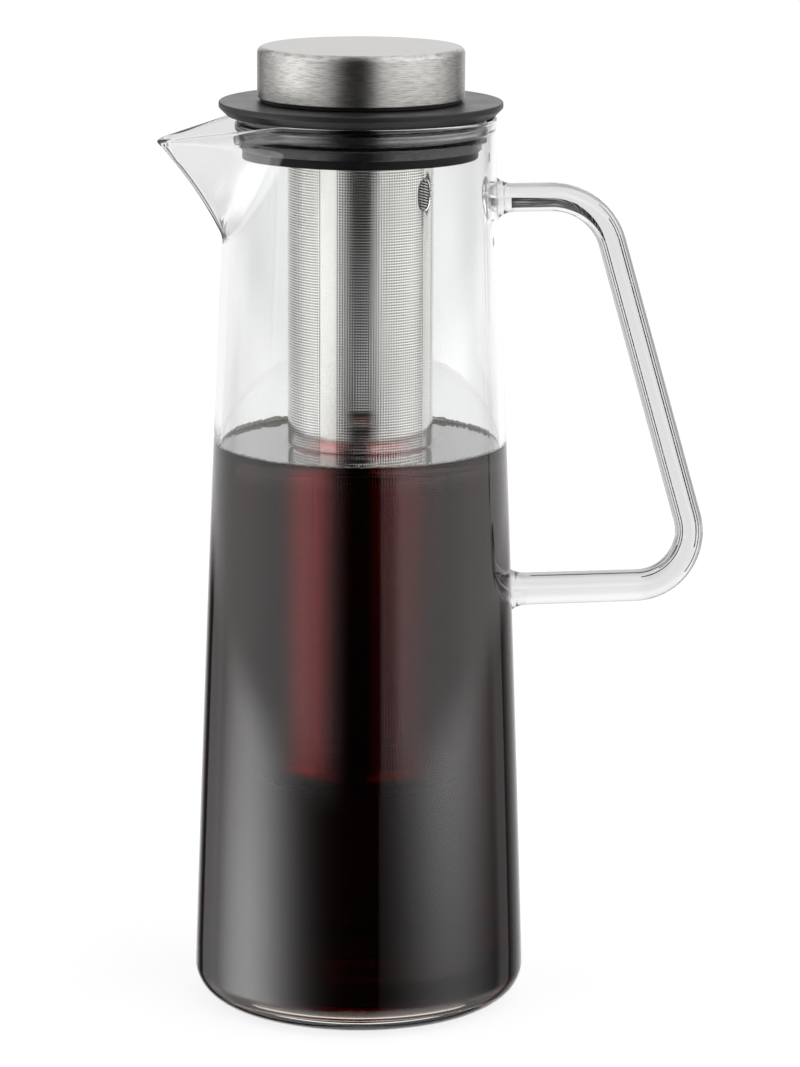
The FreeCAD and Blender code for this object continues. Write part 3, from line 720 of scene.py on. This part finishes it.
seal = dict(band=37.1, fit=0.05, upperDrop=2.1, upperFin=2.9, lowerDrop=5.8, lowerFin=0.7, lowerDroop=1.0)


def makeSeal():
    # the sleeve, its thick rounded upper fin and its thin drooping lower fin
    top, bottom = sealHigh.z, sealLow.z
    inside = collar["skirtRadius"] + seal["fit"]
    band = seal["band"]
    fin = sealHigh.x
    upper = top - seal["upperDrop"]
    under = upper - seal["upperFin"]
    root = top - seal["lowerDrop"]
    tip = root - seal["lowerDroop"]
    outline = softened([
        (inside, bottom, 0), (band, bottom, 0.3), (band, root - seal["lowerFin"], 0.2),
        (fin, tip - seal["lowerFin"], 0.2), (fin, tip, 0.2), (band, root, 0.2),
        (band, under, 0.3), (fin, under, 0.9), (fin, upper, 0.9), (band, upper, 0.3),
        (band, top, 0.2), (inside, top, 0),
    ])
    piece = turnedPiece("collar_sleeve", "filter_unit", outline, 200)
    dress(piece, siliconeMaterial("greySilicone"))
    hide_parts("collar_seal")


# The filter

filterSizes = dict(wall=0.4, ventWidth=7.4, ventHeight=9.0, ventDrop=16.0, ventTurn=51.5, columns=240)


def makeFilterTube():
    # two round walls on one grid, with a patch of cells left out at the vent; the grid round the
    # patch is drawn in from a square to an oval, and the two walls are joined along it and at the ends
    columns = filterSizes["columns"]
    centre = tubeHigh.z - filterSizes["ventDrop"]
    halfWide, halfHigh = filterSizes["ventWidth"] / 2, filterSizes["ventHeight"] / 2
    radius = tubeHigh.x
    ventAngle = math.radians(filterSizes["ventTurn"] - 90)
    near = np.linspace(-2, 2, 25)
    heights = np.concatenate([np.linspace(tubeLow.z, centre - 2 * halfHigh, 30)[:-1],
                              centre + near * halfHigh,
                              np.linspace(centre + 2 * halfHigh, tubeHigh.z, 5)[1:]])
    span = 2 * halfWide / radius
    angles = np.concatenate([near * halfWide / radius,
                             np.linspace(span, 2 * math.pi - span, columns - 23)[1:-1]])
    across = ((angles + math.pi) % (2 * math.pi) - math.pi) * radius / halfWide
    u, v = np.meshgrid(across, (heights - centre) / halfHigh)
    square = np.maximum(np.abs(u), np.abs(v))
    pull = np.clip(2 - square, 0, 1)
    scale = 1 - pull + pull * square / np.maximum(np.hypot(u, v), 1e-6)
    turn = ventAngle + np.where(square < 2, u * scale * halfWide / radius, angles)
    up = centre + v * np.where(square < 2, scale, 1) * halfHigh
    rows, count = u.shape
    shells = [np.stack([r * np.cos(turn), r * np.sin(turn), up], axis=-1).reshape(-1, 3)
              for r in (radius, radius - filterSizes["wall"])]
    cells = gridFaces(rows, count)
    inner = (square < 0.999).ravel()
    outer = cells[~inner[cells].any(axis=1)]
    offset = rows * count
    inward = outer[:, ::-1] + offset
    edges = np.concatenate([outer[:, [k, (k + 1) % 4]] for k in range(4)])
    keys = edges[:, 0] * offset + edges[:, 1]
    loose = edges[~np.isin(edges[:, 1] * offset + edges[:, 0], keys)]
    rims = np.stack([loose[:, 1], loose[:, 0], loose[:, 0] + offset, loose[:, 1] + offset], axis=-1)
    faces = np.concatenate([outer, inward, rims])
    used, again = np.unique(faces, return_inverse=True)
    points = np.concatenate(shells)[used]
    piece = addObject("filter_mesh_tube", points, again.reshape(faces.shape).tolist(), "filter_unit")
    dress(piece, filterMaterial())
    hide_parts("filter_tube")


def makeFilterEnds():
    # the flange that hangs the tube, with its sleeve, and the cup that closes the tube below
    wall = 0.5
    sleeve = tubeHigh.x - filterSizes["wall"] - 0.1
    top, bottom = flangeHigh.z, flangeLow.z
    ledge = tubeHigh.z
    outline = softened([
        (sleeve - wall, bottom, 0.1), (sleeve, bottom, 0.1), (sleeve, ledge, 0.1),
        (flangeHigh.x, ledge, 0.2), (flangeHigh.x, top, 0.3), (sleeve - wall, top, 0.3),
    ])
    flange = turnedPiece("filter_hanging_ring", "filter_unit", outline)
    dress(flange, brushedSteel("filterSteel", 0.28, 0.5))
    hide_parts("filter_flange")

    plateTop = tubeLow.z
    outline = softened([
        (0, cupLow.z, 0), (cupHigh.x, cupLow.z, 0.3), (cupHigh.x, plateTop, 0.1), (sleeve, plateTop, 0.1),
        (sleeve, cupHigh.z, 0.1), (sleeve - wall, cupHigh.z, 0.1), (sleeve - wall, plateTop, 0.2),
        (0, plateTop, 0),
    ])
    cup = turnedPiece("filter_closed_end", "filter_unit", outline)
    # the cup's steel is painted half as bright as the hanging ring's: painted shade that dims the glint
    # along its edge
    dress(cup, brushedSteel("filterCupSteelPaintedShade", 0.5, 0.3, 0.6, 0.5))
    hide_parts("filter_base")


# The stopper

stopper = dict(capWall=0.8, capRounding=2.0, headChamfer=1.5, roof=4.2, shoulderLift=1.2, plugWall=3.3,
               plugRadius=29.3, ringGroove=1.3, lipDepth=0.8, lipFit=0.05)


def makeStopper():
    # the drawn steel shell, the black body under it and the soft ring round its plug
    wall = stopper["capWall"]
    wide, top, edge = capHigh.x, capHigh.z, capLow.z
    outline = softened([
        (wide - wall, edge, 0.15), (wide, edge, 0.3), (wide, top, stopper["capRounding"]), (0, top, 0),
        (0, top - wall, 0), (wide - wall, top - wall, stopper["capRounding"] - wall),
    ], steps=8)
    outline = np.roll(outline, -np.argmax(outline[:, 0] < 1e-6) - 1, axis=0)
    cap = turnedPiece("stopper_cap", "stopper", outline, 200)
    dress(cap, brushedSteel("brushedSteel"))
    # the top is the same steel as the side, painted 0.8 as bright: painted shade on the top face
    cap.data.materials.append(brushedSteel("brushedSteelTopPaintedShade", 0.36, 0.0, 0.85, 0.8))
    height = np.array([face.center.z for face in cap.data.polygons]) / mm
    cap.data.polygons.foreach_set("material_index", (height > top - 0.02).astype(int))
    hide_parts("steel_cap")

    head, headTop, bottom = coreHigh.x, coreHigh.z, coreLow.z
    shoulder = edge - stopper["shoulderLift"]
    plug = stopper["plugRadius"]
    groove = plug - stopper["ringGroove"]
    hollow = plug - stopper["plugWall"]
    roof = headTop - stopper["roof"]
    outline = softened([
        (0, roof, 0), (hollow, roof, 0.5), (hollow, bottom, 0.3), (plug, bottom, 0.5),
        (plug, ringLow.z, 0.1), (groove, ringLow.z, 0.1), (groove, ringHigh.z, 0.1), (plug, ringHigh.z, 0.1),
        (plug, shoulder, 0.2), (head, shoulder, 0.25), (head, headTop - stopper["headChamfer"], 0.2),
        (head - stopper["headChamfer"], headTop, 0.2), (0, headTop, 0),
    ])
    body = turnedPiece("stopper_body", "stopper", outline, 200)
    dress(body, plasticMaterial("stopperPlastic", 0.7))
    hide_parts("cap_core")

    low, high = ringLow.z, ringHigh.z
    inside, lip = groove + stopper["lipFit"], ringHigh.x
    valley = lip - stopper["lipDepth"]
    outline = softened([
        (inside, low, 0.1), (valley, low, 0.1), (lip, low + stopper["lipDepth"], 0.15),
        (valley, (low + high) / 2, 0.2), (lip, high - stopper["lipDepth"], 0.15), (valley, high, 0.1),
        (inside, high, 0.1),
    ])
    ring = turnedPiece("stopper_ring", "stopper", outline)
    dress(ring, siliconeMaterial("ringSilicone"))
    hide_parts("stopper_seal")


makeJug()
makeCoffee()
makeFoam()
print("jug and coffee made")
makeHandle()
print("handle made")
makeCollar()
makeSeal()
print("collar made")
makeFilterTube()
makeFilterEnds()
print("filter made")
makeStopper()
print("stopper made")


# Light, floor and camera

light = dict(
    turn=8.5,                                         # from -Y to the photographer's side, degrees
    front=0.012,                                      # the dark room behind the camera
    lowLeft=(5.6, -82, 29), lowRight=(3.7, 68, 32),   # lit table: strength, middle and half width
    farLeft=1.6, farRight=1.6,                        # the far table, seen in what stands high
    highLeft=1.6, highRight=2.3, highBack=1.3,        # soft boxes above the horizon
    deepLeft=0.8, deepRight=1.2,                      # the table close to the object
    rim=0.35, back=0.8, overhead=0.9,                 # stripes far round, the wall behind, the ceiling
    dry=0.85,                                         # taken from the lit table in the empty glass
    horizon=(3, 12),                                  # heights between which the soft boxes begin
    far=(5.0, 6.6), low=(10.7, 12.2), close=(18, 30), # and, below it, the three parts of the table
    pale=0.83, beyond=0.87, sideways=0.72, edge=0.45,  # what shows straight through clear glass
)


def makeWorld():
    # a studio as luminance by direction: turn is the level angle from the photographer's side and
    # rise the height above the horizon, both in degrees
    world = bpy.data.worlds.new("softStudio")
    scene.world = world
    tree = Tree(world)
    x, y, z = tree.split(tree.add("TexCoord", None, None, "Generated"))
    turn = x.math("ARCTAN2", -y) * math.degrees(1) + light["turn"]
    rise = z.math("ARCSINE") * math.degrees(1)
    level = turn.math("ABSOLUTE")
    ramp = tree.ramp

    def table(strength, middle, width):
        away = (turn - middle) / width
        return (away * away * -1).math("EXPONENT") * strength

    above = ramp(rise, *light["horizon"])
    low = ramp(-rise, *light["low"])
    middle = (1 - low) * ramp(-rise, *light["far"])
    close = ramp(-rise, *light["close"])
    far = 1 - ramp(-rise, 20, 32) * 0.8
    lowLeft = table(*light["lowLeft"]) * far * ramp(-rise, 1.5, 14.5, "LINEAR") * low
    lowRight = (table(*light["lowRight"]) * far * low * ramp(turn, 13, 15)
                * (1 - ramp(-rise, 11, 16, "LINEAR") * 0.62))
    farLeft = ramp(-turn, 6, 46) * (1 - ramp(-turn, 84, 128) * 0.42) * light["farLeft"]
    farRight = ((ramp(turn, 14, 18) * 0.35 + ramp(turn, 22, 34) * 0.65) * (1 - ramp(turn, 86, 124) * 0.38)
                * light["farRight"])
    sideLeft = ramp(-turn, 20, 48) * (1 - ramp(-turn, 122, 148))
    sideRight = ramp(turn, 8, 30) * (1 - ramp(turn, 98, 142))
    rim = (ramp(-turn, 118, 128) * (1 - ramp(-turn, 143, 147))
           + ramp(turn, 112, 122) * (1 - ramp(turn, 131, 133.5))) * light["rim"]
    behind = ramp(-turn, 150, 170) + ramp(turn, 133, 165, "LINEAR")
    # the lit table is fainter in what is seen through the empty glass
    path = tree.add("LightPath", None, None, "Is Camera Ray")
    crossings = tree.other(path, "Transmission Depth")
    lit = 1 - (crossings > 0.5) * (crossings < 4.5) * light["dry"]
    studio = (light["front"] + (lowLeft + lowRight) * lit + rim * (1 - middle)
              + middle * (farLeft + farRight)
              + sideLeft * (above * light["highLeft"] + close * light["deepLeft"])
              + sideRight * (above * light["highRight"] + close * light["deepRight"])
              + behind * (1 - middle) * (above * (light["highBack"] - light["back"]) + light["back"]))
    overhead = ramp(rise, 55, 75) * ramp(level, 30, 80)
    studio = studio * (1 - overhead) + overhead * light["overhead"]

    # light that came straight through clear glass, without a bounce, shows the pale backdrop, which
    # is greyer where the glass bends it far to the side
    through = (tree.other(path, "Is Transmission Ray") * (tree.other(path, "Glossy Depth") < 0.5)
               * (tree.other(path, "Diffuse Depth") < 0.5))
    seen = light["sideways"] + (light["beyond"] - light["sideways"]) * ramp(level, 92, 112)
    seen = seen + (light["edge"] - light["beyond"]) * ramp(level, 112, 134)
    seen = seen + (light["pale"] - light["edge"]) * ramp(level, 138, 147)
    seen = seen * (1 - ramp(rise.math("ABSOLUTE"), 34, 50) * 0.3)
    seen = seen * (1 - ramp(-rise, 15, 24) * 0.1) + ramp(rise, 2, 12) * 0.1
    strength = studio * (1 - through) + seen * through
    strength = strength * (1 - path) + path
    background = tree.add("Background", None, {"Color": (1, 1, 1, 1), "Strength": strength})
    tree.add("OutputWorld", None, {"Surface": background})


# Black tapes a little behind the handle as the photographer sees it, which only light that passes
# through glass meets: they draw the dark lines in the rod, as a studio's black cards do. Each has
# its place across the rod's line at its two ends (outward from the hand's gap, from and to, mm) and
# its place along it (shares of the way from the top).
tapes = dict(
    behind=14.0,
    lines=(
        ((0.0, 5.1), (0.7, 4.9), (0.012, 0.13)), ((0.7, 4.9), (2.5, 3.3), (0.12, 0.205)),
        ((2.5, 3.2), (2.5, 3.2), (0.195, 0.8)), ((4.3, 5.2), (4.3, 5.2), (0.19, 0.76)),
        ((-3.4, -2.7), (-3.4, -2.7), (0.17, 0.7)), ((-5.3, -4.4), (-5.3, -4.4), (0.15, 0.74)),
        ((-7.4, -6.9), (-7.4, -6.9), (0.07, 0.16)), ((-15, -12.5), (-15, -12.5), (0.085, 0.14)),
        ((11, 14), (11, 14), (0.085, 0.14)), ((5.2, 6.2), (7, 9.6), (0.7, 0.805)),
        ((7, 9.6), (7, 9.6), (0.8, 0.97)), ((-15, -12.5), (-15, -12.5), (0.72, 0.97)),
    ),
)


def makeTapes():
    # flat strips beside the rod's line, moved away from the photographer along the lines of sight
    points, ways, run = handlePath()
    outward = np.stack([-ways[:, 1], ways[:, 0]], axis=-1)
    turn, out = math.radians(cameraView["turn"]), cameraView["distance"]
    eye = np.array([-math.sin(turn) * out, -math.cos(turn) * out, cameraView["height"]])
    material, tree = newMaterial("blackTape")
    x, y, z = tree.split(tree.place())
    streaks = tree.noise(tree.join(x * 90, 0, z * 2200), 1.0, 2.0)
    tree.finish(tree.add("BsdfDiffuse", None, {
        "Color": tree.mixColour(tree.ramp(streaks, 0.5, 0.66), (0.02, 0.02, 0.02, 1), (0.4, 0.4, 0.4, 1))}))
    for index, (start, finish, (first, last)) in enumerate(tapes["lines"]):
        share = (run / run[-1] - first) / (last - first)
        part = (share >= 0) & (share <= 1)
        share = share[part, None]
        edges = []
        for begin, end in zip(start, finish):
            line = points[part] + outward[part] * (begin + (end - begin) * share)
            line = np.stack([line[:, 0], np.zeros(len(line)), line[:, 1]], axis=-1)
            edges.append(eye + (line - eye) * (1 + tapes["behind"] / -eye[1]))
        grid = np.stack(edges)
        mesh = bpy.data.meshes.new("studio_tape")
        step = np.arange(len(line) - 1)
        faces = np.stack([step, step + 1, step + 1 + len(line), step + len(line)], axis=-1)
        mesh.from_pydata((grid.reshape(-1, 3) * mm).tolist(), [], faces.tolist())
        tape = bpy.data.objects.new("studio_tape_%d" % index, mesh)
        scene.collection.objects.link(tape)
        mesh.materials.append(material)
        for way in ("camera", "diffuse", "glossy", "volume_scatter", "shadow"):
            setattr(tape, "visible_" + way, False)


def makeFloor():
    # a pale floor that keeps the object's shadow and goes over into the white background
    size = 20.0
    corners = [(-size, -size, 0), (size, -size, 0), (size, size, 0), (-size, size, 0)]
    mesh = bpy.data.meshes.new("studio_floor")
    mesh.from_pydata(corners, [], [(0, 1, 2, 3)])
    floor = bpy.data.objects.new("studio_floor", mesh)
    scene.collection.objects.link(floor)
    material, tree = newMaterial("paleFloor")
    camera = tree.add("LightPath", None, None, "Is Camera Ray")
    paint = tree.add("BsdfDiffuse", None, {"Color": (0.86, 0.86, 0.86, 1)})
    glow = tree.add("Emission", None, {"Color": (1, 1, 1, 1), "Strength": 1.05})
    tree.finish(tree.add("MixShader", None, {0: camera * 0.8, 1: paint, 2: glow}))
    mesh.materials.append(material)
    floor.visible_glossy = False
    floor.visible_transmission = False


def makeCamera():
    # stands at the photographer's place, looks a little down and past the axis, and rolls slightly
    turn, yaw = math.radians(cameraView["turn"]), math.radians(cameraView["turn"] + cameraView["yaw"])
    pitch, roll = math.radians(cameraView["pitch"]), math.radians(cameraView["roll"])
    ahead = Vector((math.sin(yaw) * math.cos(pitch), math.cos(yaw) * math.cos(pitch), -math.sin(pitch)))
    right = Vector((math.cos(yaw), -math.sin(yaw), 0))
    up = right.cross(ahead)
    rolledRight = right * math.cos(roll) + up * math.sin(roll)
    rolledUp = up * math.cos(roll) - right * math.sin(roll)
    data = bpy.data.cameras.new("camera")
    data.lens = cameraView["lens"]
    data.sensor_width = 36
    data.clip_start = 0.01
    camera = bpy.data.objects.new("camera", data)
    scene.collection.objects.link(camera)
    axes = Matrix((rolledRight, rolledUp, -ahead)).transposed()
    out = cameraView["distance"] * mm
    place = Vector((-math.sin(turn) * out, -math.cos(turn) * out, cameraView["height"] * mm))
    camera.matrix_world = Matrix.Translation(place) @ axes.to_4x4()
    scene.camera = camera


makeWorld()
makeFloor()
makeTapes()
makeCamera()
scene.view_settings.view_transform = "Standard"
scene.cycles.max_bounces = 24
scene.cycles.transmission_bounces = 24
scene.cycles.glossy_bounces = 12
scene.cycles.transparent_max_bounces = 48
print("light and camera set")
